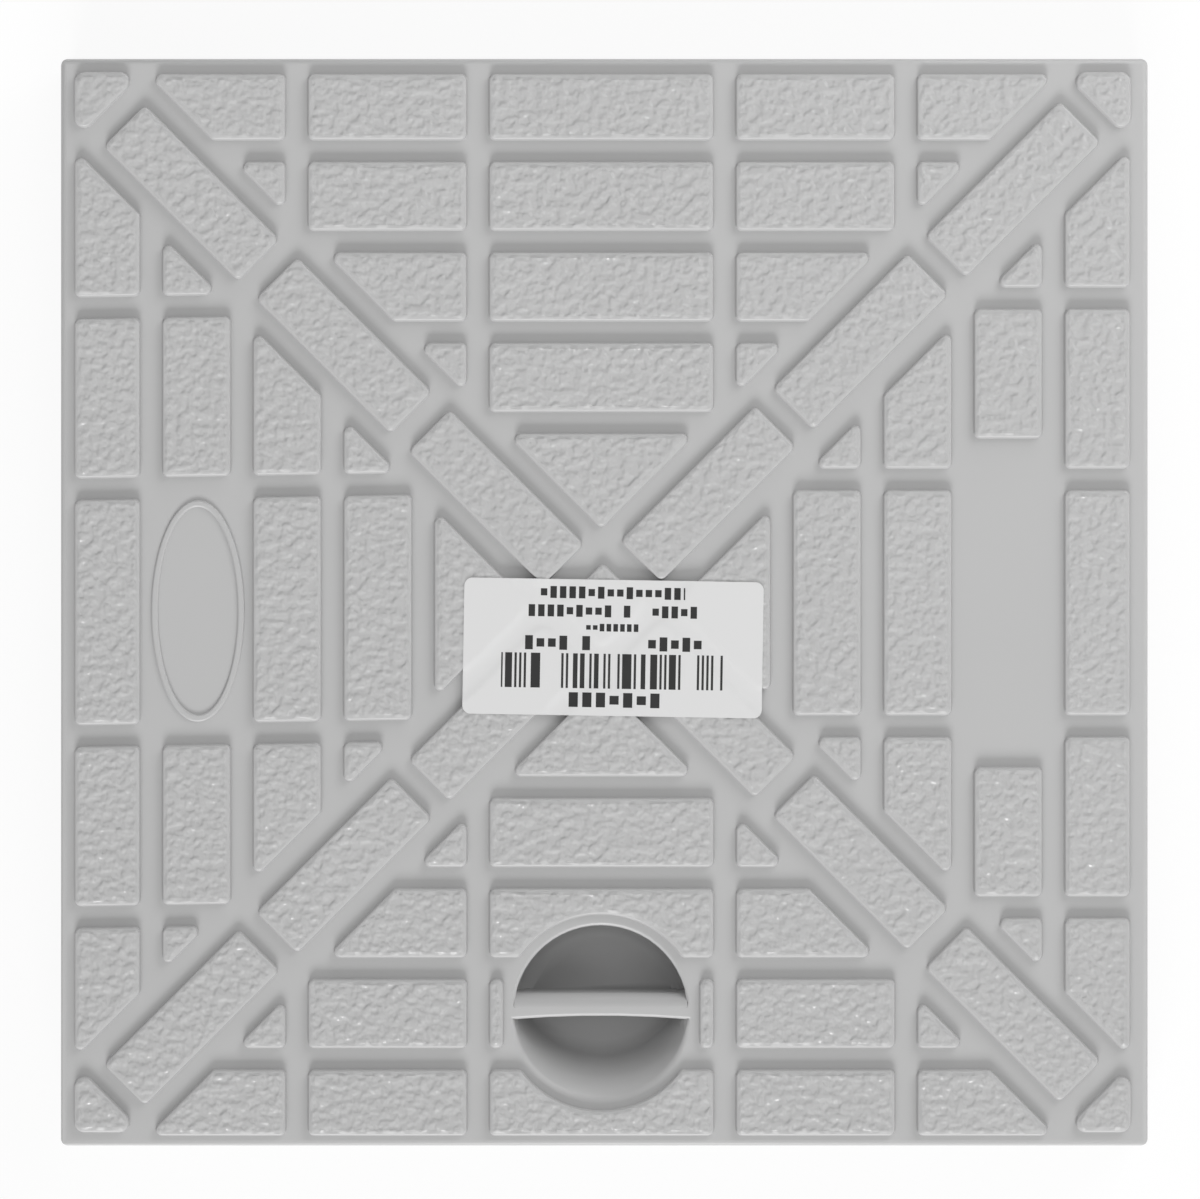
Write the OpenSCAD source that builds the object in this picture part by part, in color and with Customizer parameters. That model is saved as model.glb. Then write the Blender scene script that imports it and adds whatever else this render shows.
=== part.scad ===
// Square inspection cover of moulded plastic: grained tread pads in four fields between diagonal
// arms, a round finger hold with a grip bar, a ribbed underside, and a paper label stuck on top.
// The underside's rim stands on z = 0, the middle of the cover is on the z axis, and the finger
// hold is at -Y.

/* [Cover] */
// Side of the square cover
cover_size = 200; // [190:1:240]
// Height from the underside to the groove floor
body_h = 20; // [20:0.5:30]
// Radius of the four corners, seen from above
corner_r = 1.5; // [0.5:0.1:4]
// Radius of the outer top edge
edge_r = 1.2; // [0.4:0.1:1.8]
// Thickness of the top plate below the grooves
plate_t = 3; // [2:0.1:4]
// Thickness of the outer wall
skirt_t = 3; // [2:0.1:5]

/* [Tread] */
// Height of the pads above the groove floor
pad_h = 1.4; // [1:0.1:2.5]
// Plain border round the pattern
border_w = 2.5; // [2:0.1:5]
// Number of full rows of pads on each side, outside the triangle
rows = 4; // [3:1:4]
// Width of the outermost row of pads
outer_row_w = 12.2; // [9:0.1:14]
// Width of the rows inside it
row_w = 12.75; // [10:0.05:13]
// Width of the grooves between rows and between the pads of a row
groove_w = 3.9; // [3:0.05:5]
// Length of the pad in the middle of a row
middle_pad_l = 41.45; // [30:0.05:46]
// Length of the pad beside the middle one
side_pad_l = 29.4; // [24:0.05:34]
// Width of the diagonal arms
arm_w = 10.9; // [7:0.1:13]
// Groove on each side of an arm
arm_groove = 4.3; // [3:0.1:6]
// Gap between the pads of an arm
arm_gap = 4.4; // [3:0.1:6]
// Number of pads in each arm
arm_pads = 3; // [2:1:5]
// Leg of the triangular pad in each corner
corner_leg = 13; // [10:0.1:16]
// Corner radius of the pads
pad_r = 1.2; // [0.4:0.1:1.4]
// Corner radius of the four corner pads
corner_pad_r = 1.9; // [0.8:0.1:2.4]

/* [Lie of the pattern] */
// Shift of the back field of pads in X and Y
back_shift = [-0.55, -0.4]; // [-1:0.05:1]
// Shift of the -X field
left_shift = [0.1, -0.3]; // [-1:0.05:1]
// Shift of the front field
front_shift = [-0.5, -0.6]; // [-1:0.05:1]
// Shift of the +X field
right_shift = [-0.8, -0.1]; // [-1:0.05:1]
// Shift of the square pad in the middle
middle_shift = [-0.35, -0.3]; // [-1:0.05:1]
// Shift of the arm towards +X +Y
arm_a_shift = [-0.35, 0.5]; // [-1:0.05:1]
// Shift of the arm towards -X +Y
arm_b_shift = [-0.45, -0.2]; // [-1:0.05:1]
// Shift of the arm towards -X -Y
arm_c_shift = [-0.4, -0.9]; // [-1:0.05:1]
// Shift of the arm towards +X -Y
arm_d_shift = [-0.35, -0.3]; // [-1:0.05:1]
// Shift of the two corner pads on the +X side
corner_shift = [-0.6, 0]; // [-1:0.05:1]
// Turn of the -X field's cross grooves about the middle of the cover
left_turn = 0.95; // [-1.5:0.05:1.5]

/* [Oval ring and bare field] */
// Width of the raised oval ring on the -X side
oval_w = 17.2; // [14:0.1:19]
// Length of the oval ring
oval_l = 40.8; // [36:0.2:44]
// Shift of the ring in its row, in X and Y
oval_shift = [0.3, -1.6]; // [-2:0.1:2]
// Width of the ridge that makes the ring
ridge_w = 1.3; // [0.5:0.1:1.6]
// Height of the ridge above the groove floor
ridge_h = 0.5; // [0.3:0.1:1]
// Length of the stretch without pads on the +X side
bare_l = 60.4; // [56:0.2:70]

/* [Finger hold] */
// Shift of the hold in its row, in X and Y
hold_shift = [-0.65, -0.4]; // [-1:0.05:1]
// Radius of the round pocket
hold_r = 16; // [13:0.5:16.5]
// Depth of the pocket below the groove floor
hold_depth = 14; // [9:0.5:14.5]
// Thickness of the pocket's floor
hold_floor_t = 2.5; // [1.5:0.1:3]
// Thickness of the wall round the pocket
hold_wall = 2; // [1.5:0.1:3]
// Flat land between the pocket and the pads
hold_land = 2; // [1:0.1:3]
// Radius where the pocket's wall meets its floor
hold_foot_r = 3; // [1:0.5:4]
// How far the slope on the outer side runs in by the time it meets the floor
scoop_run = 7; // [4:0.5:9]
// How far the slope's gentler lip runs in, and how far it goes down
scoop_lip = 3; // [1:0.5:3.5]
// Width of the slim pads beside the hold
slim_pad_w = 2.8; // [2.6:0.1:3.2]
// Width of the flat on top of the grip bar
bar_flat = 1.45; // [0.6:0.05:3]
// Radius of the bar's inner shoulder
bar_shoulder_r = 2.7; // [1:0.1:4]
// How far the bar's outer face lies outside the middle of the hold
bar_shift = 0.65; // [0:0.05:1]
// How far the bar's outer face bows in at mid-length
bar_bow = 0.65; // [0.3:0.05:1.5]

/* [Underside] */
// Number of ribs each way
ribs = 9; // [9:1:12]
// Thickness of the ribs
rib_t = 1.8; // [1.2:0.1:2.4]
// How far the ribs stop short of the rim
rib_setback = 1; // [0.5:0.1:1.5]

/* [Label] */
// Length of the paper label
label_l = 55; // [40:1:70]
// Width of the paper label
label_w = 25; // [18:1:36]
// Thickness of the label
label_t = 0.15; // [0.1:0.05:0.3]
// Corner radius of the label
label_r = 1.5; // [0.5:0.1:3]
// Place of the label's middle, to the right of the cover's
label_x = 1.6; // [-6:0.1:6]
// Place of the label's middle, towards the back
label_y = -8.4; // [-12:0.1:6]
// Turn of the label as it was stuck on
label_turn = -0.95; // [-6:0.05:6]

/* [Hidden] */
half = cover_size / 2;
field_half = half - border_w;
row_pitch = row_w + groove_w;
pad_top = body_h + pad_h;
arm_cut = (arm_w / 2 + arm_groove) * sqrt(2);
arm_start = arm_w / 2 + arm_gap;
corner_face = field_half * sqrt(2) - corner_leg / sqrt(2);
arm_pad_l = (corner_face - arm_start) / arm_pads - arm_gap;
side_pad_x = middle_pad_l / 2 + groove_w;
ring_row = 1;
ring_y = (row_far(ring_row) + row_near(ring_row)) / 2;
hold_middle = [hold_shift.x, hold_shift.y - ring_y, 0];
rib_pitch = (cover_size - skirt_t) / (ribs + 1);
hold_floor = body_h - hold_depth;
hollow_h = hold_depth + pad_h;
bar_bow_r = (pow(hold_r, 2) + pow(bar_bow, 2)) / (2 * bar_bow);
over = 1;
slice_t = 0.05;
corner_fn = 15;
round_fn = 96;
scoop_fn = 64;
foot_fn = 20;
bow_fn = 360;

// Distance of a row's outer and inner edge from the middle of the cover; row 0 is the outermost
function row_far(i) = i == 0 ? field_half : field_half - outer_row_w - groove_w - (i - 1) * row_pitch;
function row_near(i) = row_far(i) - (i == 0 ? outer_row_w : row_w);

// Points of an ellipse
function ellipse(a, b) =
    [for (i = [0 : round_fn - 1]) let (turn = 360 * i / round_fn) [a * cos(turn), b * sin(turn)]];

// A square seen from above with true arcs at its corners
module rounded_square(size, r) {
    square([size.x - 2 * r, size.y], center = true);
    square([size.x, size.y - 2 * r], center = true);
    for (x = [-1, 1], y = [-1, 1])
        translate([x * (size.x / 2 - r), y * (size.y / 2 - r)]) circle(r, $fn = round_fn);
}

// Cross-section of the cover with its two rounded top edges
module edge_section() {
    translate([-half, 0]) square([cover_size, body_h - edge_r]);
    translate([edge_r - half, 0]) square([cover_size - 2 * edge_r, body_h]);
    for (side = [-1, 1])
        translate([side * (half - edge_r), body_h - edge_r]) circle(edge_r, $fn = round_fn);
}

// The cross-section drawn out along one side of the cover
module edge_prism(turn) {
    rotate([90, 0, turn]) linear_extrude(cover_size + 2 * over, center = true) edge_section();
}

// Rounds every outward corner of a flat shape
module soften(r) {
    offset(r = r, $fn = corner_fn) offset(delta = -r) children();
}

// Outer form of the cover up to the groove floor
module outer_block() {
    intersection() {
        linear_extrude(body_h) rounded_square([cover_size, cover_size], corner_r);
        edge_prism(0);
        edge_prism(90);
    }
}

// Top plate with the outer wall that the cover stands on
module shell() {
    difference() {
        outer_block();
        translate([skirt_t - half, skirt_t - half, -over])
            cube([cover_size - 2 * skirt_t, cover_size - 2 * skirt_t, body_h - plate_t + over]);
    }
}

// Square lattice of stiffening ribs under the plate
module rib_lattice() {
    rib_l = cover_size - skirt_t;
    for (i = [1 : ribs], turn = [0, 90])
        rotate(turn)
            translate([i * rib_pitch - rib_l / 2 - rib_t / 2, -rib_l / 2, rib_setback])
                cube([rib_t, rib_l, body_h - plate_t / 2 - rib_setback]);
}

// Rows of one field, towards +Y, with the grooves between their pads turned by cross_turn
module field_rows(cross_turn) {
    difference() {
        union() {
            for (i = [0 : rows - 1])
                translate([-half, row_near(i)]) square([cover_size, row_far(i) - row_near(i)]);
            translate([-half, 0]) square([cover_size, row_far(rows)]);
        }
        for (side = [-1, 1], x = [middle_pad_l / 2, side_pad_x + side_pad_l])
            rotate(cross_turn)
                translate([side * (x + groove_w / 2) - groove_w / 2, 0]) square([groove_w, half + over]);
    }
}

// The field that a pair of diagonal arms leaves between them
module field_wedge() {
    polygon([[0, arm_cut], [half, arm_cut + half], [-half, arm_cut + half]]);
}

// A stretch of the second row, centred on the field
module second_row_stretch(length) {
    translate([-length / 2, row_near(ring_row) - groove_w / 2]) square([length, row_w + groove_w]);
}

// Whole field of pads between two arms
module field(cross_turn = 0) {
    intersection() {
        field_wedge();
        field_rows(cross_turn);
    }
}

// Slim pads on both sides of the hold, in the second row of the front field
module slim_pads() {
    for (side = [-1, 1])
        translate([side * (middle_pad_l - slim_pad_w) / 2, ring_y]) square([slim_pad_w, row_w], center = true);
}

// Pads of the four fields: back, -X round the oval ring, front round the hold, +X with the bare stretch
module field_pads() {
    translate(back_shift) field();
    translate(left_shift) rotate(90) difference() {
        field(left_turn);
        rotate(left_turn) second_row_stretch(middle_pad_l + groove_w);
    }
    difference() {
        translate(front_shift) rotate(180) difference() {
            field();
            second_row_stretch(middle_pad_l + groove_w);
        }
        translate(hold_middle) circle(hold_r + hold_land, $fn = round_fn);
    }
    translate(front_shift) rotate(180) slim_pads();
    translate(right_shift) rotate(270) difference() {
        field();
        second_row_stretch(bare_l);
    }
}

// Pads of the four diagonal arms and the square pad where they meet
module arm_pads() {
    shifts = [arm_a_shift, arm_b_shift, arm_c_shift, arm_d_shift];
    translate(middle_shift) rotate(45) square(arm_w, center = true);
    for (arm = [0 : 3], i = [0 : arm_pads - 1])
        translate(shifts[arm])
            rotate(45 + 90 * arm)
                translate([arm_start + i * (arm_pad_l + arm_gap), -arm_w / 2]) square([arm_pad_l, arm_w]);
}

// Triangular pads in the corners
module corner_pads() {
    for (turn = [0 : 90 : 270])
        translate(turn % 270 == 0 ? corner_shift : [0, 0])
            rotate(turn)
                polygon([[field_half, field_half], [field_half - corner_leg, field_half],
                         [field_half, field_half - corner_leg]]);
}

// All tread pads, rooted in the plate
module tread() {
    translate([0, 0, body_h - plate_t / 2])
        linear_extrude(plate_t / 2 + pad_h) {
            soften(pad_r) {
                field_pads();
                arm_pads();
            }
            soften(corner_pad_r) corner_pads();
        }
}

// Raised oval ring on the -X side
module oval_ring() {
    translate([oval_shift.x - ring_y, oval_shift.y, body_h - plate_t / 2])
        linear_extrude(plate_t / 2 + ridge_h)
            difference() {
                polygon(ellipse(oval_w / 2, oval_l / 2));
                polygon(ellipse(oval_w / 2 - ridge_w, oval_l / 2 - ridge_w));
            }
}

// Half section of the pocket: straight wall, rounded foot and flat floor
module pocket_section() {
    translate([0, hold_foot_r]) square([hold_r, hollow_h - hold_foot_r]);
    square([hold_r - hold_foot_r, hold_foot_r]);
    intersection() {
        translate([hold_r - hold_foot_r, hold_foot_r]) circle(hold_foot_r, $fn = round_fn);
        translate([hold_r - hold_foot_r, 0]) square(hold_foot_r);
    }
}

// The room on one side of the pocket's middle
module half_space(turn) {
    rotate(turn)
        translate([-hold_r - over, 0, -over]) cube([2 * (hold_r + over), hold_r + over, hollow_h + 2 * over]);
}

// Inner half of the pocket, with an upright wall
module upright_pocket() {
    translate([0, 0, hold_floor]) intersection() {
        rotate_extrude($fn = round_fn) pocket_section();
        half_space(0);
    }
}

// Flat round slice of the outer half of the pocket, where the slope's lip ends
module lip_slice() {
    translate([0, scoop_lip, hold_depth - scoop_lip - slice_t]) cylinder(r = hold_r, h = slice_t, $fn = scoop_fn);
}

// Outer half of the pocket, whose wall slopes in over a gentler lip towards the floor
module scoop() {
    translate([0, 0, hold_floor]) intersection() {
        union() {
            hull() {
                translate([0, 0, hold_depth]) cylinder(r = hold_r, h = pad_h, $fn = scoop_fn);
                lip_slice();
            }
            hull() {
                lip_slice();
                translate([0, scoop_run, hold_foot_r]) rotate_extrude($fn = scoop_fn)
                    translate([hold_r - hold_foot_r, 0]) circle(hold_foot_r, $fn = foot_fn);
            }
        }
        half_space(180);
    }
}

// Grip bar across the pocket: a rounded inner shoulder and an outer face that bows in
module grip_bar() {
    flat_end = bar_flat - bar_shift;
    difference() {
        rotate([90, 0, 90]) linear_extrude(2 * (hold_r + over), center = true) {
            translate([-hold_r, 0]) square([hold_r + flat_end + bar_shoulder_r, body_h - bar_shoulder_r]);
            translate([-hold_r, 0]) square([hold_r + flat_end, body_h]);
            translate([flat_end, body_h - bar_shoulder_r]) circle(bar_shoulder_r, $fn = round_fn);
        }
        translate([0, -bar_shift - bar_bow_r, -over])
            cylinder(r = bar_bow_r, h = body_h + 2 * over, $fn = bow_fn);
    }
}

// The finger hold's two hollows, on either side of the grip bar
module hold_hollows() {
    translate(hold_middle) difference() {
        union() {
            upright_pocket();
            scoop();
        }
        grip_bar();
    }
}

// Closed cup that hangs under the plate round the finger hold
module hold_cup() {
    cup_h = hold_depth + hold_floor_t - plate_t / 2;
    translate(hold_middle + [0, 0, hold_floor - hold_floor_t])
        cylinder(r = hold_r + hold_wall, h = cup_h, $fn = round_fn);
}

// The moulded cover
module cover() {
    color([0.72, 0.72, 0.72]) difference() {
        union() {
            shell();
            rib_lattice();
            hold_cup();
            tread();
            oval_ring();
        }
        hold_hollows();
    }
}

// Paper label stuck on the pads
module sticker() {
    color([0.93, 0.93, 0.93])
        translate([label_x, label_y, pad_top]) rotate(label_turn)
            linear_extrude(label_t) rounded_square([label_l, label_w], label_r);
}

cover();
sticker();
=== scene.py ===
"""Looks of a square inspection cover of moulded plastic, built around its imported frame.

The cover keeps the form of the frame's solid: its mesh is merged, its edges are rounded as in a
mould and its tread pads get their pebbled grain. The paper label is a thin sheet that lies on the
pads and sags a little over the grooves. All lengths are in metres, apart from the label's print,
which is laid out in millimetres.
"""

import logging
import math
from collections.abc import Callable
from dataclasses import dataclass, field
from enum import Enum

import bmesh
import bpy
import numpy as np
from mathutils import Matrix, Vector
from mathutils.bvhtree import BVHTree
from mathutils.geometry import delaunay_2d_cdt


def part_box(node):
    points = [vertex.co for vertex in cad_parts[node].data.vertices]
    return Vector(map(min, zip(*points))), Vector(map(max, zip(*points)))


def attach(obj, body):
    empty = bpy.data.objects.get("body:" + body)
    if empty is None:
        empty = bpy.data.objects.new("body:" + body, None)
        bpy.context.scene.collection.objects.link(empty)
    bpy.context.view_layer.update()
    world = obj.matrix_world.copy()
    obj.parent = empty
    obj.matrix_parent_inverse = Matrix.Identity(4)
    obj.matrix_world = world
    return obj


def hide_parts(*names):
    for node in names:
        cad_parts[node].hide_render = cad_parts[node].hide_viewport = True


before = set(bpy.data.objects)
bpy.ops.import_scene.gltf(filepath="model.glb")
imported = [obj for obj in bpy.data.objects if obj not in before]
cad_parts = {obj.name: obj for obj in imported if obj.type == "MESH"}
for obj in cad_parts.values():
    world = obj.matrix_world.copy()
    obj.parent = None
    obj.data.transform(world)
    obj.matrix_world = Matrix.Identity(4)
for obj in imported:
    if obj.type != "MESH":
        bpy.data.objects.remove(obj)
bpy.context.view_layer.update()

MM = 0.001
BODY = "root"
COVER_NODE = "cover"
LABEL_NODE = "sticker"
GRAIN_ROOM = "grain_room"
SAME_LEVEL = 0.01 * MM
FLAT = 0.999
EXACTLY_FLAT = 0.9999

log = logging.getLogger("inspection_cover")


class Finish(Enum):
    """The record's material slots."""

    PLASTIC = "cover"
    PAPER = "label_paper"


class Wire:
    """One output socket of a node tree, with Python's operators on numbers."""

    def __init__(self, net: "Net", socket: bpy.types.NodeSocket) -> None:
        """Keeps the socket and the net that it belongs to.

        Args:
            net: the node tree that the socket is in.
            socket: an output socket.
        """
        self.net = net
        self.socket = socket

    def __add__(self, other: "Wire | float") -> "Wire":
        """Sum."""
        return self.net.maths("ADD", self, other)

    def __sub__(self, other: "Wire | float") -> "Wire":
        """Difference."""
        return self.net.maths("SUBTRACT", self, other)

    def __rsub__(self, other: "Wire | float") -> "Wire":
        """Difference from a number."""
        return self.net.maths("SUBTRACT", other, self)

    def __mul__(self, other: "Wire | float") -> "Wire":
        """Product."""
        return self.net.maths("MULTIPLY", self, other)

    def __truediv__(self, other: "Wire | float") -> "Wire":
        """Quotient."""
        return self.net.maths("DIVIDE", self, other)

    def __lt__(self, other: "Wire | float") -> "Wire":
        """1 where this is less than the other, else 0."""
        return self.net.maths("LESS_THAN", self, other)

    def __gt__(self, other: "Wire | float") -> "Wire":
        """1 where this is greater than the other, else 0."""
        return self.net.maths("GREATER_THAN", self, other)

    def __abs__(self) -> "Wire":
        """Size without sign."""
        return self.net.maths("ABSOLUTE", self)

    __radd__ = __add__
    __rmul__ = __mul__

    def floor(self) -> "Wire":
        """Largest whole number that isn't above this."""
        return self.net.maths("FLOOR", self)

    def larger(self, other: "Wire | float") -> "Wire":
        """The larger of the two."""
        return self.net.maths("MAXIMUM", self, other)

    def step(self, low: float, high: float) -> "Wire":
        """A smooth step from 0 at low to 1 at high."""
        sockets = {"Value": self, "From Min": low, "From Max": high}
        node = self.net.node("ShaderNodeMapRange", {"interpolation_type": "SMOOTHSTEP"}, sockets)
        return Wire(self.net, node.outputs[0])


class Net:
    """A node tree of shaders or of geometry that expressions are written into."""

    def __init__(self, tree: bpy.types.NodeTree) -> None:
        """Empties the tree.

        Args:
            tree: the node tree to write into.
        """
        self.tree = tree
        tree.nodes.clear()

    def node(self, kind: str, settings: dict | None = None, sockets: dict | None = None) -> bpy.types.Node:
        """Adds one node.

        Args:
            kind: the node's type.
            settings: its own settings, set before its sockets.
            sockets: a value, a Wire or an output socket for each input by name or number.

        Returns:
            The new node.
        """
        made = self.tree.nodes.new(kind)
        for name, value in (settings or {}).items():
            setattr(made, name, value)
        for key, value in (sockets or {}).items():
            source = value.socket if isinstance(value, Wire) else value
            if isinstance(source, bpy.types.NodeSocket):
                self.tree.links.new(source, made.inputs[key])
            else:
                made.inputs[key].default_value = source
        return made

    def maths(self, operation: str, *values: "Wire | float") -> Wire:
        """Adds a Math node.

        Args:
            operation: the node's operation.
            values: its inputs in order.

        Returns:
            The result.
        """
        made = self.node("ShaderNodeMath", {"operation": operation}, dict(enumerate(values)))
        return Wire(self, made.outputs[0])

    def mix(self, factor: Wire, first: tuple | Wire, second: tuple | Wire) -> Wire:
        """Mixes two colours.

        Args:
            factor: 0 for the first, 1 for the second.
            first: a colour or a wire.
            second: a colour or a wire.

        Returns:
            The mixed colour.
        """
        made = self.node("ShaderNodeMix", {"data_type": "RGBA"}, {0: factor, 6: first, 7: second})
        return Wire(self, made.outputs[2])

    def split(self, vector: bpy.types.NodeSocket) -> tuple[Wire, Wire, Wire]:
        """Gives the three parts of a vector.

        Args:
            vector: an output socket that holds a vector.

        Returns:
            X, Y and Z.
        """
        made = self.node("ShaderNodeSeparateXYZ", None, {0: vector})
        return tuple(Wire(self, out) for out in made.outputs)

    def join(self, x: Wire | float, y: Wire | float, z: Wire | float = 0.0) -> bpy.types.NodeSocket:
        """Makes a vector of three parts.

        Args:
            x: the first part.
            y: the second part.
            z: the third part.

        Returns:
            The vector's output socket.
        """
        return self.node("ShaderNodeCombineXYZ", None, {0: x, 1: y, 2: z}).outputs[0]

    def noise(self, place: bpy.types.NodeSocket, cell: float, detail: float = 0.0,
              rough: float = 0.5) -> Wire:
        """Smooth noise from 0 to 1.

        Args:
            place: where it is read, in metres.
            cell: the size of its hills.
            detail: how many finer layers lie on it.
            rough: how strong those are.

        Returns:
            The noise.
        """
        sockets = {"Vector": place, "Scale": 1.0 / cell, "Detail": detail, "Roughness": rough}
        return Wire(self, self.node("ShaderNodeTexNoise", None, sockets).outputs[0])

    def chance(self, number: Wire, seed: float) -> Wire:
        """A random draw from 0 to 1 for each whole number.

        Args:
            number: the whole number.
            seed: picks one of many series of draws.

        Returns:
            The draw.
        """
        sockets = {"Vector": self.join(number, seed)}
        made = self.node("ShaderNodeTexWhiteNoise", {"noise_dimensions": "2D"}, sockets)
        return Wire(self, made.outputs["Value"])


def plain_colour(value: float) -> tuple[float, float, float, float]:
    """An opaque grey of one value."""
    return value, value, value, 1.0


def new_material(name: str) -> tuple[bpy.types.Material, Net]:
    """Makes a material with an empty node tree.

    Args:
        name: the material's name.

    Returns:
        The material, and its tree to write into.
    """
    material = bpy.data.materials.new(name)
    material.use_nodes = True
    return material, Net(material.node_tree)


@dataclass(frozen=True)
class PebbleGrain:
    """The grain etched into the mould: low islands with soft borders.

    Attributes:
        cell: size of the noise that the islands are cut from.
        detail: how many finer layers lie on that noise.
        rough: how strong those are.
        relief: height of the islands.
        level: where the noise is cut.
        soft: half the width of an island's border, in noise units, as pressed into the mesh.
        crisp: the same, as the shader draws it.
        share: part of the relief that the mesh carries.
    """

    cell: float = 1.7 * MM
    detail: float = 1.0
    rough: float = 0.45
    relief: float = 0.25 * MM
    level: float = 0.5
    soft: float = 0.22
    crisp: float = 0.21
    share: float = 0.3

    def noise(self, net: Net, place: bpy.types.NodeSocket) -> Wire:
        """The noise that the islands are cut from, the same in a shader and in the mesh.

        Args:
            net: the tree to write into.
            place: object coordinates.

        Returns:
            Noise from 0 to 1.
        """
        x, y, _ = net.split(place)
        return net.noise(net.join(x, y), self.cell, self.detail, self.rough)

    def pressed(self, net: Net, place: bpy.types.NodeSocket) -> Wire:
        """Ground from 0 to 1 as far as the mesh can follow it."""
        return self.noise(net, place).step(self.level - self.soft, self.level + self.soft)

    def drawn(self, net: Net, place: bpy.types.NodeSocket) -> Wire:
        """Ground from 0 to 1 as the shader draws it."""
        return self.noise(net, place).step(self.level - self.crisp, self.level + self.crisp)


@dataclass(frozen=True)
class CoverPlastic:
    """Light grey polypropylene, satin in the grooves and grained on the pads.

    Attributes:
        grey: the plastic's colour.
        cloud: how far the grey wanders over the cover.
        cloud_size: size of the grey's clouds.
        satin_size: size of the fine unevenness of every surface.
        satin_depth: its height.
        gloss: roughness of the plain surfaces.
        pad_gloss: roughness of the pads.
        bending: the plastic's index of refraction.
    """

    grey: float = 0.46
    cloud: float = 0.02
    cloud_size: float = 30 * MM
    satin_size: float = 0.35 * MM
    satin_depth: float = 0.006 * MM
    gloss: float = 0.42
    pad_gloss: float = 0.26
    bending: float = 1.52

    def make(self, grain: PebbleGrain) -> bpy.types.Material:
        """Builds the material.

        Args:
            grain: the grain of the pads.

        Returns:
            The material.
        """
        material, net = new_material("moulded_plastic")
        place = net.node("ShaderNodeTexCoord").outputs["Object"]
        room = Wire(net, net.node("ShaderNodeAttribute", {"attribute_name": GRAIN_ROOM}).outputs["Fac"])
        cloud = (net.noise(place, self.cloud_size, 2.0) - 0.5) * (2 * self.cloud) + 1.0
        grey = cloud * self.grey
        etched = net.node("ShaderNodeBump", None, {
            "Strength": 1.0,
            "Distance": grain.relief,
            "Height": grain.drawn(net, place) * room,
        })
        surface = net.node("ShaderNodeBump", None, {
            "Strength": 1.0,
            "Distance": self.satin_depth,
            "Height": net.noise(place, self.satin_size, 1.0),
            "Normal": etched.outputs[0],
        })
        shader = net.node("ShaderNodeBsdfPrincipled", None, {
            "Base Color": net.join(grey, grey, grey),
            "Roughness": room * (self.pad_gloss - self.gloss) + self.gloss,
            "IOR": self.bending,
            "Normal": surface.outputs[0],
        })
        net.node("ShaderNodeOutputMaterial", None, {"Surface": shader.outputs[0]})
        return material


@dataclass(frozen=True)
class BlockRow:
    """A row of plain blocks of two heights with gaps, in the place of a printed line.

    All lengths are in millimetres from the label's middle.

    Attributes:
        start: where the row starts.
        end: where it ends.
        middle: the row's middle line.
        tall: size that the heights of its blocks are parts of.
        pitch: distance from block to block.
        seed: picks the row's own order of blocks.
        half_width: half a block's width, as a part of the pitch.
        gaps: part of the blocks that are left out.
        low_share: part of the draws, gaps among them, that aren't a tall block.
        low_half: half a low block's height, as a part of tall.
        more: how much half a tall block's height has more, as a part of tall.
    """

    start: float
    end: float
    middle: float
    tall: float
    pitch: float
    seed: float
    half_width: float = 0.34
    gaps: float = 0.12
    low_share: float = 0.45
    low_half: float = 0.3
    more: float = 0.2

    def draw(self, net: Net, u: Wire, v: Wire) -> Wire:
        """Writes the row's mask.

        Args:
            net: the tree to write into.
            u: millimetres along the label.
            v: millimetres across the label.

        Returns:
            1 inside a block.
        """
        cell = (u - self.start) / self.pitch
        number = cell.floor()
        inside = abs(cell - number - 0.5) < self.half_width
        chance = net.chance(number, self.seed)
        half = (chance > self.low_share) * (self.more * self.tall) + self.low_half * self.tall
        row = abs(v - self.middle) < half
        return inside * row * (u > self.start) * (u < self.end) * (chance > self.gaps)


@dataclass(frozen=True)
class BarField:
    """A field of upright bars of uneven width, which encodes nothing, in millimetres.

    Attributes:
        pitch: width of the narrowest bar.
        gaps: part of the field that stays white.
        half_width: half the field's width.
        middle: the field's middle line.
        half_height: half the field's height.
        seed: picks the field's own order of bars.
    """

    pitch: float = 0.43
    gaps: float = 0.52
    half_width: float = 20.5
    middle: float = -4.3
    half_height: float = 3.2
    seed: float = 9.0

    def draw(self, net: Net, u: Wire, v: Wire) -> Wire:
        """Writes the field's mask.

        Args:
            net: the tree to write into.
            u: millimetres along the label.
            v: millimetres across the label.

        Returns:
            1 inside a bar.
        """
        chance = net.chance((u / self.pitch).floor(), self.seed)
        field_mask = (abs(u) < self.half_width) * (abs(v - self.middle) < self.half_height)
        return (chance > self.gaps) * field_mask


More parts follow.
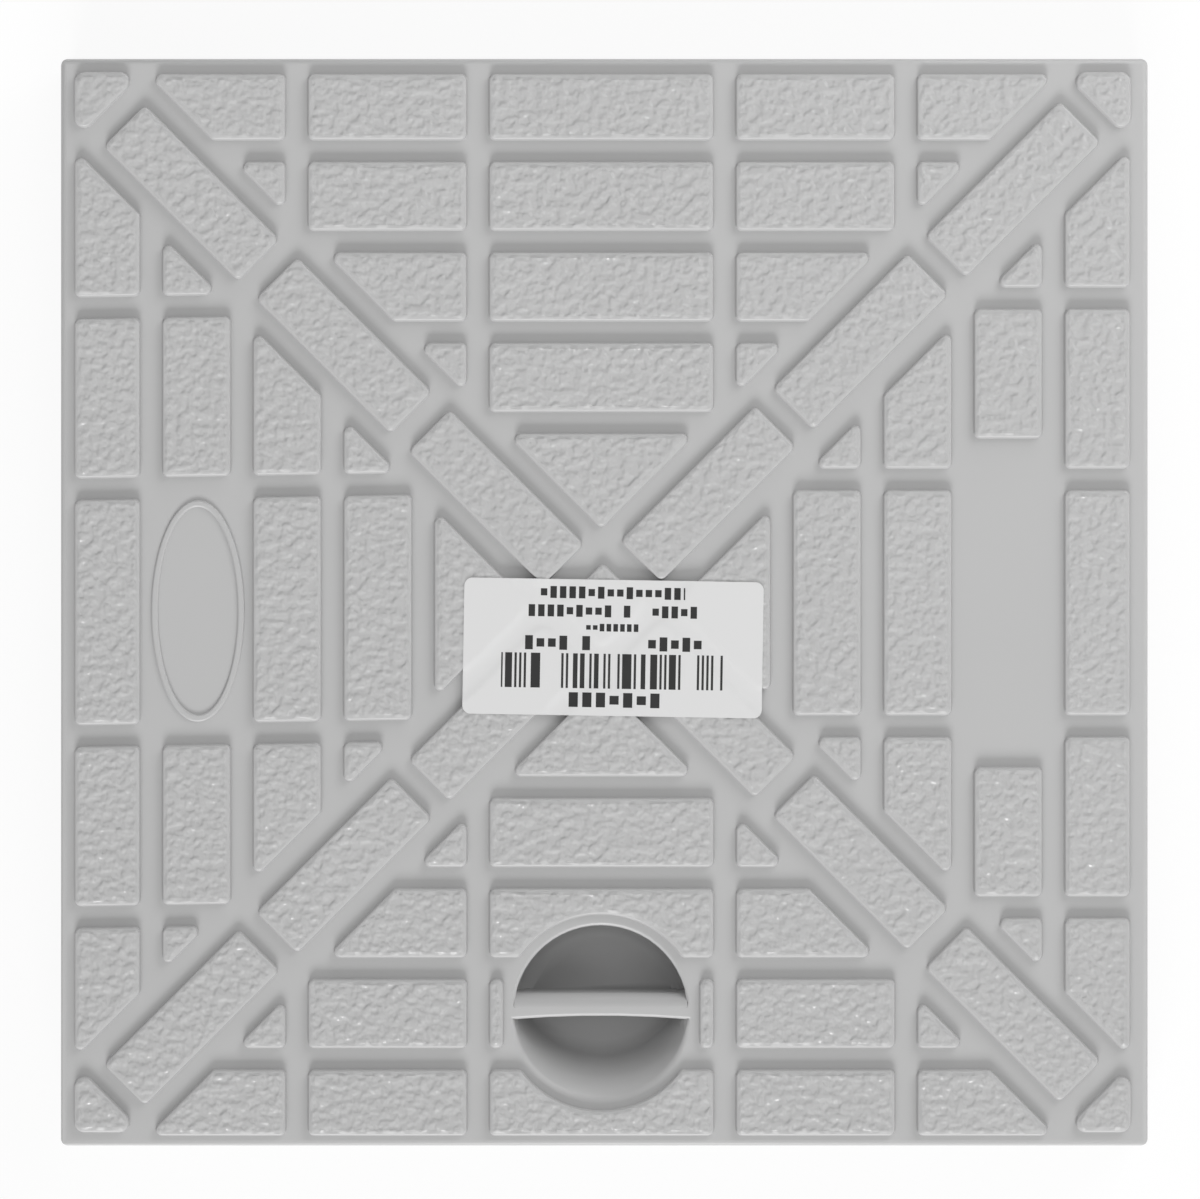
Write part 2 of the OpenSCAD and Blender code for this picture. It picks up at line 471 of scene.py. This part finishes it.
@dataclass(frozen=True)
class LabelPaper:
    """White label stock with generic printed blocks and bars.

    Attributes:
        white: colour of the paper.
        ink: colour of the print.
        gloss: roughness of the paper.
        ink_gloss: how much rougher the print is.
        bending: the paper's index of refraction.
        bars: the field of bars.
        rows: the rows of blocks.
    """

    white: float = 0.66
    ink: float = 0.02
    gloss: float = 0.5
    ink_gloss: float = 0.1
    bending: float = 1.45
    bars: BarField = BarField()
    rows: tuple[BlockRow, ...] = (
        BlockRow(-13.7, 13.1, 10.1, 2.2, 1.75, 1.0),
        BlockRow(-15.9, 15.5, 6.7, 2.2, 1.75, 2.0),
        BlockRow(-5.2, 4.9, 3.7, 1.4, 1.25, 3.0),
        BlockRow(-16.5, -3.8, 0.8, 2.6, 2.1, 4.0),
        BlockRow(4.0, 16.7, 0.8, 2.6, 2.1, 5.0),
        BlockRow(-10.9, 8.9, -9.6, 2.7, 2.5, 6.0),
    )

    def make(self, middle: Vector, turn: float) -> bpy.types.Material:
        """Builds the material.

        Args:
            middle: the label's middle.
            turn: the label's turn about Z, in radians.

        Returns:
            The material.
        """
        material, net = new_material("label_stock")
        turned = net.node("ShaderNodeMapping", {"vector_type": "TEXTURE"}, {
            "Vector": net.node("ShaderNodeTexCoord").outputs["Object"],
            "Location": (middle.x, middle.y, 0.0),
            "Rotation": (0.0, 0.0, turn),
        })
        along, across, _ = net.split(turned.outputs[0])
        inked = self.print(net, along / MM, across / MM)
        shader = net.node("ShaderNodeBsdfPrincipled", None, {
            "Base Color": net.mix(inked, plain_colour(self.white), plain_colour(self.ink)),
            "Roughness": inked * self.ink_gloss + self.gloss,
            "IOR": self.bending,
        })
        net.node("ShaderNodeOutputMaterial", None, {"Surface": shader.outputs[0]})
        return material

    def print(self, net: Net, u: Wire, v: Wire) -> Wire:
        """The printed shapes.

        Args:
            net: the tree to write into.
            u: millimetres along the label from its middle.
            v: millimetres across the label from its middle.

        Returns:
            1 where there is ink.
        """
        inked = self.bars.draw(net, u, v)
        for row in self.rows:
            inked = inked.larger(row.draw(net, u, v))
        return inked


class Mesher:
    """Small modelling moves that the pieces share."""

    WELD = 0.03 * MM
    PLANE_ANGLE = math.radians(0.05)
    RIM_GAP = 0.4
    POINT_GAP = 1e-5

    @staticmethod
    def copy_node(node: bpy.types.Object, name: str) -> bpy.types.Object:
        """Makes a piece of its own from a frame node's mesh.

        Args:
            node: the frame's node.
            name: the new piece's name.

        Returns:
            The piece, selected and active.
        """
        bpy.ops.object.select_all(action="DESELECT")
        mesh = node.data.copy()
        mesh.name = name
        piece = bpy.data.objects.new(name, mesh)
        bpy.context.collection.objects.link(piece)
        piece.select_set(True)
        bpy.context.view_layer.objects.active = piece
        return piece

    @classmethod
    def merge(cls, piece: bpy.types.Object) -> None:
        """Welds a piece's loose triangles and joins those that lie in one plane.

        Args:
            piece: the piece.
        """
        bpy.ops.object.mode_set(mode="EDIT")
        bpy.ops.mesh.select_all(action="SELECT")
        bpy.ops.mesh.remove_doubles(threshold=cls.WELD)
        bpy.ops.mesh.dissolve_limited(angle_limit=cls.PLANE_ANGLE)
        bpy.ops.object.mode_set(mode="OBJECT")
        log.info("%s: merged to %d faces", piece.name, len(piece.data.polygons))

    @classmethod
    def lattice_points(cls, rim: np.ndarray, pitch: float) -> tuple[np.ndarray, np.ndarray]:
        """Points of a triangular lattice inside an outline.

        Args:
            rim: the outline's corners in order.
            pitch: distance between neighbours.

        Returns:
            The points, and how far each lies from the outline.
        """
        low, high = rim.min(axis=0), rim.max(axis=0)
        rise = pitch * math.sqrt(3) / 2
        rows = np.arange(math.ceil(low[1] / rise), math.floor(high[1] / rise) + 1)
        columns = np.arange(math.floor(low[0] / pitch) - 1, math.ceil(high[0] / pitch) + 1)
        grid_row, grid_column = np.meshgrid(rows, columns, indexing="ij")
        grid_x = (grid_column + 0.5 * (grid_row % 2)) * pitch
        points = np.stack([grid_x, grid_row * rise], axis=-1).reshape(-1, 2)
        start, end = rim, np.roll(rim, -1, axis=0)
        side = end - start
        away = points[:, None, :] - start[None]
        share = np.clip((away * side).sum(-1) / (side * side).sum(-1), 0.0, 1.0)
        gap = np.linalg.norm(away - share[..., None] * side, axis=-1).min(axis=1)
        crosses = (points[:, None, 1] < start[None, :, 1]) != (points[:, None, 1] < end[None, :, 1])
        rise_share = (points[:, None, 1] - start[None, :, 1]) / np.where(side[:, 1] == 0, 1.0, side[:, 1])
        left = points[:, None, 0] < start[None, :, 0] + rise_share * side[None, :, 0]
        inside = (crosses & left).sum(axis=1) % 2 == 1
        keep = inside & (gap > cls.RIM_GAP * pitch)
        return points[keep], gap[keep]

    @classmethod
    def lay_lattice(cls, form: bmesh.types.BMesh, top: bmesh.types.BMFace, pitch: float) -> None:
        """Divides one flat face into small even triangles.

        The grain's room grows from 0 on the outline to 1 at one pitch from it.

        Args:
            form: the mesh that the face is in.
            top: the face.
            pitch: size of the triangles.
        """
        layer = form.verts.layers.float[GRAIN_ROOM]
        corners = list(top.verts)
        level = top.calc_center_median().z
        rim = np.array([corner.co.xy for corner in corners]) / MM
        points, gaps = cls.lattice_points(rim, pitch / MM)
        flat = [Vector(point) for point in np.concatenate([rim, points])]
        outline = [list(range(len(corners)))]
        places, _, faces, origins, _, _ = delaunay_2d_cdt(flat, [], outline, 1, cls.POINT_GAP)
        made = []
        for place, origin in zip(places, origins):
            if origin and origin[0] < len(corners):
                made.append(corners[origin[0]])
                continue
            vertex = form.verts.new((place.x * MM, place.y * MM, level))
            if origin:
                vertex[layer] = min(1.0, gaps[origin[0] - len(corners)] * MM / pitch)
            made.append(vertex)
        form.faces.remove(top)
        for face in faces:
            new = form.faces.new([made[index] for index in face])
            new.normal_update()
            if new.normal.z < 0:
                new.normal_flip()


@dataclass(frozen=True)
class EdgeStep:
    """One sloping step of an eased edge.

    Attributes:
        run: how far it goes inwards.
        rise: how far it goes up.
    """

    run: float
    rise: float


@dataclass
class MouldedCover:
    """The moulded cover.

    Attributes:
        node: the frame's solid.
        grain: the grain of the pads.
        finish: the plastic.
        pad_height: height of the pads above the groove floor.
        ridge_height: height of the oval ring's ridge above the groove floor.
        pad_edge: the steps of the pads' walls and eased edges, from the groove floor upwards.
        ridge_edge: radius of the ridge's two edges.
        hold_middle: middle of the finger hold.
        hold_r: the finger hold's radius.
        hold_reach: how far outside it a corner of its rim can lie.
        hold_edge: radius of the finger hold's inner rim and of the grip bar's outer edge.
        slope_start: how far in front of the hold's middle the slope's part of the rim begins.
        slope_edge: radius of the rim where the slope starts.
        foot_level: height under which an edge belongs to a foot.
        foot_edge: radius of the lower edges of wall and ribs.
        pitch: size of the triangles that carry the grain.
        smooth_angle: greatest angle between faces that are shaded as one curve.
        pad_top: height of the pads' tops, read from the frame.
        floor: height of the groove floor.
    """

    node: bpy.types.Object
    grain: PebbleGrain
    finish: CoverPlastic
    pad_height: float = 1.4 * MM
    ridge_height: float = 0.5 * MM
    pad_edge: tuple[EdgeStep, ...] = (
        EdgeStep(0.18 * MM, 1.1 * MM),
        EdgeStep(0.05 * MM, 0.12 * MM),
        EdgeStep(0.09 * MM, 0.09 * MM),
        EdgeStep(0.16 * MM, 0.08 * MM),
    )
    ridge_edge: float = 0.4 * MM
    hold_middle: tuple[float, float] = (-0.65 * MM, -75.425 * MM)
    hold_r: float = 16 * MM
    hold_reach: float = 0.1 * MM
    hold_edge: float = 0.65 * MM
    slope_start: float = 2.5 * MM
    slope_edge: float = 0.9 * MM
    foot_level: float = 1.5 * MM
    foot_edge: float = 0.3 * MM
    pitch: float = 0.64 * MM
    smooth_angle: float = math.radians(35)
    pad_top: float = field(init=False)
    floor: float = field(init=False)

    def build(self) -> bpy.types.Object:
        """Makes the cover and hangs it on the frame.

        Returns:
            The finished piece.
        """
        self.pad_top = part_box(COVER_NODE)[1][2]
        self.floor = self.pad_top - self.pad_height
        piece = Mesher.copy_node(self.node, "moulded_cover")
        Mesher.merge(piece)
        self.round_hold(piece)
        self.round_ridge(piece)
        self.round_feet(piece)
        self.ease_pads(piece)
        self.grain_pads(piece)
        self.press_grain(piece)
        self.smooth(piece)
        self.level_floor(piece)
        piece.data.materials.clear()
        piece.data.materials.append(self.finish.make(self.grain))
        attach(piece, BODY)
        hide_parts(COVER_NODE)
        return piece

    def bevel_where(self, piece: bpy.types.Object, wanted: Callable[[bmesh.types.BMEdge], bool],
                    size: float, segments: int) -> None:
        """Rounds the edges that a test picks.

        Args:
            piece: the piece.
            wanted: the test.
            size: the radius.
            segments: how many faces make the rounding.
        """
        bpy.ops.object.mode_set(mode="EDIT")
        bpy.ops.mesh.select_mode(type="EDGE")
        bpy.ops.mesh.select_all(action="DESELECT")
        form = bmesh.from_edit_mesh(piece.data)
        count = 0
        for edge in form.edges:
            if len(edge.link_faces) == 2 and wanted(edge):
                edge.select = True
                count += 1
        bmesh.update_edit_mesh(piece.data)
        bpy.ops.mesh.bevel(offset=size, segments=segments, profile=0.5, affect="EDGES", clamp_overlap=False)
        bpy.ops.object.mode_set(mode="OBJECT")
        log.info("%s: rounded %d edges", piece.name, count)

    def ease_pads(self, piece: bpy.types.Object) -> None:
        """Shapes the pads' walls: their tops are sunk and come up again in sloping steps.

        Args:
            piece: the piece.
        """
        bpy.ops.object.mode_set(mode="EDIT")
        bpy.ops.mesh.select_mode(type="FACE")
        bpy.ops.mesh.select_all(action="DESELECT")
        form = bmesh.from_edit_mesh(piece.data)
        for face in form.faces:
            face.select = self.is_pad_top(face)
        bmesh.update_edit_mesh(piece.data)
        bpy.ops.transform.translate(value=(0.0, 0.0, -sum(step.rise for step in self.pad_edge)))
        for step in self.pad_edge:
            bpy.ops.mesh.inset(thickness=step.run, depth=step.rise, use_individual=True, use_even_offset=True)
        bpy.ops.object.mode_set(mode="OBJECT")

    def is_pad_top(self, face: bmesh.types.BMFace) -> bool:
        """True for the flat top of a pad."""
        return face.normal.z > FLAT and abs(face.calc_center_median().z - self.pad_top) < SAME_LEVEL

    @staticmethod
    def lies_at(edge: bmesh.types.BMEdge, level: float) -> bool:
        """True where both ends of an edge lie at a level."""
        return all(abs(vertex.co.z - level) < SAME_LEVEL for vertex in edge.verts)

    @staticmethod
    def ups(edge: bmesh.types.BMEdge) -> list[float]:
        """How far an edge's faces look upwards, the least first."""
        return sorted(face.normal.z for face in edge.link_faces)

    def round_hold(self, piece: bpy.types.Object) -> None:
        """Rounds the finger hold's rim and the grip bar's outer edge.

        Args:
            piece: the piece.
        """
        middle = Vector(self.hold_middle)

        def rim(edge: bmesh.types.BMEdge) -> bool:
            """True where the land round the hold breaks off into a hollow."""
            reach = self.hold_r + self.hold_reach
            near = all((vertex.co.xy - middle).length < reach for vertex in edge.verts)
            least, *_, most = self.ups(edge)
            return self.lies_at(edge, self.floor) and near and least < 0.95 and most > FLAT

        def outer_arc(edge: bmesh.types.BMEdge) -> bool:
            """True on the part of the rim that the slope starts from."""
            centre = (edge.verts[0].co.xy + edge.verts[1].co.xy) / 2
            return rim(edge) and centre.y < middle.y - self.slope_start

        self.bevel_where(piece, lambda edge: rim(edge) and not outer_arc(edge), self.hold_edge, 3)
        self.bevel_where(piece, outer_arc, self.slope_edge, 4)

    def round_ridge(self, piece: bpy.types.Object) -> None:
        """Rounds both top edges of the oval ring.

        Args:
            piece: the piece.
        """
        def crest(edge: bmesh.types.BMEdge) -> bool:
            """True on the border of the ring's top."""
            least, most = self.ups(edge)
            return self.lies_at(edge, self.floor + self.ridge_height) and least < 0.5 < most

        self.bevel_where(piece, crest, self.ridge_edge, 3)

    def round_feet(self, piece: bpy.types.Object) -> None:
        """Rounds the lower edges of the wall and the ribs.

        Args:
            piece: the piece.
        """
        def foot(edge: bmesh.types.BMEdge) -> bool:
            """True on the border of a downward face near the rim's level."""
            low = all(vertex.co.z < self.foot_level for vertex in edge.verts)
            least, most = self.ups(edge)
            return low and least < -FLAT and most > -0.5

        self.bevel_where(piece, foot, self.foot_edge, 2)

    def grain_pads(self, piece: bpy.types.Object) -> None:
        """Divides the pads' tops finely enough for the grain.

        Args:
            piece: the piece.
        """
        form = bmesh.new()
        form.from_mesh(piece.data)
        form.verts.layers.float.new(GRAIN_ROOM)
        form.faces.ensure_lookup_table()
        tops = [face for face in form.faces if self.is_pad_top(face)]
        for top in tops:
            Mesher.lay_lattice(form, top, self.pitch)
        form.to_mesh(piece.data)
        form.free()
        log.info("%s: %d pads grained, %d faces", piece.name, len(tops), len(piece.data.polygons))

    def press_grain(self, piece: bpy.types.Object) -> None:
        """Presses the grain's low ground into the pads with a geometry modifier.

        Args:
            piece: the piece.
        """
        tree = bpy.data.node_groups.new("press_grain", "GeometryNodeTree")
        for way in ("INPUT", "OUTPUT"):
            tree.interface.new_socket("Geometry", in_out=way, socket_type="NodeSocketGeometry")
        net = Net(tree)
        entry = net.node("NodeGroupInput")
        place = net.node("GeometryNodeInputPosition").outputs[0]
        room = Wire(net, net.node("GeometryNodeInputNamedAttribute", None, {"Name": GRAIN_ROOM}).outputs[0])
        depth = self.grain.relief * self.grain.share
        drop = (self.grain.pressed(net, place) - 1.0) * room * depth
        moved = net.node("GeometryNodeSetPosition", None, {
            "Geometry": entry.outputs[0],
            "Offset": net.join(0.0, 0.0, drop),
        })
        net.node("NodeGroupOutput", None, {0: moved.outputs[0]})
        modifier = piece.modifiers.new("grain", "NODES")
        modifier.node_group = tree
        bpy.ops.object.modifier_apply(modifier=modifier.name)

    def smooth(self, piece: bpy.types.Object) -> None:
        """Shades the curves smooth and keeps the flats flat.

        Args:
            piece: the piece.
        """
        bpy.ops.object.shade_smooth_by_angle(angle=self.smooth_angle)
        modifier = piece.modifiers.new("flats", "WEIGHTED_NORMAL")
        modifier.keep_sharp = True
        modifier.weight = 100
        bpy.ops.object.modifier_apply(modifier=modifier.name)

    def level_floor(self, piece: bpy.types.Object) -> None:
        """Gives the groove floor its own upright normals, so that its narrow faces don't show.

        Args:
            piece: the piece.
        """
        mesh = piece.data
        normals = np.zeros(len(mesh.loops) * 3)
        mesh.corner_normals.foreach_get("vector", normals)
        normals = normals.reshape(-1, 3)
        for face in mesh.polygons:
            if face.normal.z > EXACTLY_FLAT and abs(face.center.z - self.floor) < SAME_LEVEL:
                normals[face.loop_start:face.loop_start + face.loop_total] = (0.0, 0.0, 1.0)
        mesh.normals_split_custom_set(normals.tolist())


@dataclass
class PaperLabel:
    """The label, a thin sheet that lies on the pads.

    Attributes:
        node: the frame's solid.
        finish: the paper.
        pitch: size of the sheet's triangles.
        sag: how far it sinks in the middle of a groove.
        groove: width of the grooves that it bridges.
        deepest: how far it can sink where no pad holds its rim.
        reach: how far under the pads' tops a spot still carries the sheet.
        rounds: how often the sag is worked out from its neighbours.
        easings: how often the sag is evened out at the end.
        smooth_angle: greatest angle between faces that are shaded as one curve.
        thick: the paper's thickness, read from the frame.
        level: height of its upper side, read from the frame.
    """

    node: bpy.types.Object
    finish: LabelPaper
    pitch: float = 0.6 * MM
    sag: float = 0.3 * MM
    groove: float = 4.4 * MM
    deepest: float = 0.45 * MM
    reach: float = 0.4 * MM
    rounds: int = 400
    easings: int = 2
    smooth_angle: float = math.radians(40)
    thick: float = field(init=False)
    level: float = field(init=False)

    def build(self, cover: bpy.types.Object) -> bpy.types.Object:
        """Makes the label and hangs it on the frame.

        Args:
            cover: the finished cover that it lies on.

        Returns:
            The finished piece.
        """
        low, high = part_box(LABEL_NODE)
        self.thick = high[2] - low[2]
        self.level = high[2]
        piece = Mesher.copy_node(self.node, "paper_label")
        Mesher.merge(piece)
        turn = self.own_turn(piece)
        self.keep_top(piece)
        self.drape(piece, cover)
        self.thicken(piece)
        piece.data.materials.clear()
        middle = (Vector(low) + Vector(high)) / 2
        piece.data.materials.append(self.finish.make(middle, turn))
        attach(piece, BODY)
        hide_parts(LABEL_NODE)
        return piece

    def own_turn(self, piece: bpy.types.Object) -> float:
        """Finds how far the label is turned, from its longest edge.

        Args:
            piece: the merged piece.

        Returns:
            The turn about Z in radians.
        """
        corners = piece.data.vertices
        sides = [corners[b].co - corners[a].co for a, b in (edge.vertices for edge in piece.data.edges)]
        longest = max(sides, key=lambda side: side.length)
        return math.atan(longest.y / longest.x)

    def keep_top(self, piece: bpy.types.Object) -> None:
        """Keeps the top face only and divides it finely.

        Args:
            piece: the piece.
        """
        form = bmesh.new()
        form.from_mesh(piece.data)
        form.verts.layers.float.new(GRAIN_ROOM)
        others = [face for face in form.faces if face.normal.z < 0.9]
        bmesh.ops.delete(form, geom=others, context="FACES")
        longest = max(edge.calc_length() for edge in form.edges)
        sides = [edge for edge in form.edges if edge.calc_length() > longest / 3]
        bmesh.ops.subdivide_edges(form, edges=sides, cuts=int(longest / self.pitch) // 2)
        form.faces.ensure_lookup_table()
        Mesher.lay_lattice(form, form.faces[0], self.pitch)
        form.to_mesh(piece.data)
        form.free()

    def drape(self, piece: bpy.types.Object, cover: bpy.types.Object) -> None:
        """Lets the sheet sag between the pads that carry it.

        Args:
            piece: the flat sheet.
            cover: the cover under it.
        """
        mesh = piece.data
        count = len(mesh.vertices)
        places = np.zeros(count * 3)
        mesh.vertices.foreach_get("co", places)
        places = places.reshape(-1, 3)
        tree = BVHTree.FromObject(cover, bpy.context.evaluated_depsgraph_get())
        carried = np.zeros(count, bool)
        for index, place in enumerate(places):
            hit = tree.ray_cast(Vector(place) + Vector((0, 0, MM)), Vector((0, 0, -1)))[0]
            carried[index] = hit is not None and hit.z > self.level - self.thick - self.reach
        ends = np.array([edge.vertices[:] for edge in mesh.edges])
        first = np.concatenate([ends[:, 0], ends[:, 1]])
        second = np.concatenate([ends[:, 1], ends[:, 0]])
        neighbours = np.bincount(first, minlength=count)

        def around(values: np.ndarray) -> np.ndarray:
            """Mean over each point's neighbours."""
            return np.bincount(first, weights=values[second], minlength=count) / neighbours

        load = 4 * self.sag * (self.pitch / self.groove) ** 2
        drop = np.zeros(count)
        for _ in range(self.rounds):
            drop = around(drop) - load
            drop[carried] = 0.0
        drop = self.deepest * np.tanh(drop / self.deepest)
        for _ in range(self.easings):
            drop = 0.5 * drop + 0.5 * around(drop)
        places[:, 2] += drop - drop[carried].min()
        places[:, 2] = np.minimum(places[:, 2], self.level)
        mesh.vertices.foreach_set("co", places.ravel())
        mesh.update()
        log.info("%s: sags by %.2f mm", piece.name, -drop.min() / MM)

    def thicken(self, piece: bpy.types.Object) -> None:
        """Gives the sheet the paper's thickness, downwards.

        Args:
            piece: the sheet.
        """
        modifier = piece.modifiers.new("paper", "SOLIDIFY")
        modifier.thickness = self.thick
        modifier.offset = -1.0
        bpy.ops.object.modifier_apply(modifier=modifier.name)
        bpy.ops.object.shade_smooth_by_angle(angle=self.smooth_angle)


@dataclass(frozen=True)
class SoftLamp:
    """A rectangular lamp that points at the cover.

    Attributes:
        name: the lamp's name.
        place: where it is.
        width: its side along the floor.
        height: its other side.
        share: its part of the light on the tread, where 1 shows a colour as it is written.
    """

    name: str
    place: tuple[float, float, float]
    width: float
    height: float
    share: float

    def hang(self) -> None:
        """Adds the lamp to the scene."""
        distance = Vector(self.place).length
        data = bpy.data.lights.new(self.name, "AREA")
        data.shape = "RECTANGLE"
        data.size = self.width
        data.size_y = self.height
        data.energy = self.share * math.pi ** 2 * distance ** 3 / self.place[2]
        lamp = bpy.data.objects.new(self.name, data)
        lamp.location = self.place
        lamp.rotation_euler = (-Vector(self.place)).to_track_quat("-Z", "Y").to_euler()
        bpy.context.collection.objects.link(lamp)


@dataclass
class Studio:
    """Camera, floor and soft light.

    Attributes:
        photo_width: width of the photograph in pixels.
        photo_height: height of the photograph in pixels.
        middle_x: the cover's middle in the photograph, in pixels from the left.
        middle_y: the same from the top.
        scale: pixels for each millimetre at the height of the tread.
        lens: focal length in millimetres.
        sensor: width of the camera's sensor in millimetres.
        floor_size: side of the square floor.
        floor_drop: how far the floor lies under the cover.
        floor_white: colour of the floor.
        floor_glow: part of what the camera sees of the floor that is white without any light.
        ambient: the world's part of the light on the tread.
        lamps: a strong lamp in front, and weaker ones above it, at the right and behind.
    """

    photo_width: float = 1200.0
    photo_height: float = 1199.0
    middle_x: float = 604.3
    middle_y: float = 602.2
    scale: float = 5.438
    lens: float = 200.0
    sensor: float = 36.0
    floor_size: float = 6.0
    floor_drop: float = 0.05 * MM
    floor_white: float = 0.9
    floor_glow: float = 0.88
    ambient: float = 0.5
    lamps: tuple[SoftLamp, ...] = (
        SoftLamp("front_lamp", (-0.4, -7.8, 4.0), 4.8, 2.9, 0.36),
        SoftLamp("upper_lamp", (0.3, -1.9, 3.3), 2.0, 1.5, 0.05),
        SoftLamp("side_lamp", (0.45, 0.4, 0.42), 0.4, 0.4, 0.17),
        SoftLamp("back_lamp", (0.6, 2.0, 0.55), 1.2, 0.8, 0.05),
    )

    def build(self, tread: float) -> None:
        """Makes the camera, the floor and the light.

        Args:
            tread: height of the groove floor, which the photograph's scale holds for.
        """
        self.place_camera(tread)
        self.lay_floor()
        for lamp in self.lamps:
            lamp.hang()
        self.paint_world()
        bpy.context.scene.view_settings.view_transform = "Standard"

    def place_camera(self, tread: float) -> None:
        """Looks straight down, as the photograph does.

        Args:
            tread: height of the groove floor.
        """
        data = bpy.data.cameras.new("camera")
        data.sensor_fit = "HORIZONTAL"
        data.sensor_width = self.sensor
        data.lens = self.lens
        view = self.photo_width / self.scale * MM
        camera = bpy.data.objects.new("camera", data)
        camera.location = (
            (self.photo_width / 2 - self.middle_x) / self.scale * MM,
            (self.middle_y - self.photo_height / 2) / self.scale * MM,
            tread + view * self.lens / self.sensor,
        )
        bpy.context.collection.objects.link(camera)
        bpy.context.scene.camera = camera

    def lay_floor(self) -> None:
        """Lays a white floor that keeps the cover's shadow."""
        bpy.ops.object.select_all(action="DESELECT")
        bpy.ops.mesh.primitive_plane_add(size=self.floor_size, location=(0.0, 0.0, -self.floor_drop))
        floor = bpy.context.object
        floor.name = "floor"
        material, net = new_material("white_floor")
        ray = net.node("ShaderNodeLightPath")
        seen = Wire(net, ray.outputs["Is Camera Ray"])
        for kind in ("Is Glossy Ray", "Is Transmission Ray"):
            seen = seen.larger(Wire(net, ray.outputs[kind]))
        matte = net.node("ShaderNodeBsdfDiffuse", None, {"Color": plain_colour(self.floor_white)})
        white = net.node("ShaderNodeEmission", None, {"Color": plain_colour(1.0), "Strength": 1.0})
        both = net.node("ShaderNodeMixShader", None, {
            0: seen * self.floor_glow,
            1: matte.outputs[0],
            2: white.outputs[0],
        })
        net.node("ShaderNodeOutputMaterial", None, {"Surface": both.outputs[0]})
        floor.data.materials.append(material)

    def paint_world(self) -> None:
        """Makes the world white for the camera and an even, weaker light for the rest."""
        world = bpy.data.worlds.new("studio")
        world.use_nodes = True
        net = Net(world.node_tree)
        ray = net.node("ShaderNodeLightPath")
        seen = Wire(net, ray.outputs["Is Camera Ray"])
        strength = seen * (1.0 - self.ambient) + self.ambient
        sky = net.node("ShaderNodeBackground", None, {"Color": plain_colour(1.0), "Strength": strength})
        net.node("ShaderNodeOutputWorld", None, {"Surface": sky.outputs[0]})
        bpy.context.scene.world = world


def main() -> None:
    """Builds the pieces in order and reports each."""
    logging.basicConfig(level=logging.INFO, format="%(name)s: %(message)s")
    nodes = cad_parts
    cover = MouldedCover(nodes[COVER_NODE], PebbleGrain(), CoverPlastic())
    moulded = cover.build()
    log.info("%s: %d faces", moulded.name, len(moulded.data.polygons))
    label = PaperLabel(nodes[LABEL_NODE], LabelPaper()).build(moulded)
    log.info("%s: %d faces", label.name, len(label.data.polygons))
    Studio().build(cover.floor)


if __name__ == "__main__":
    main()
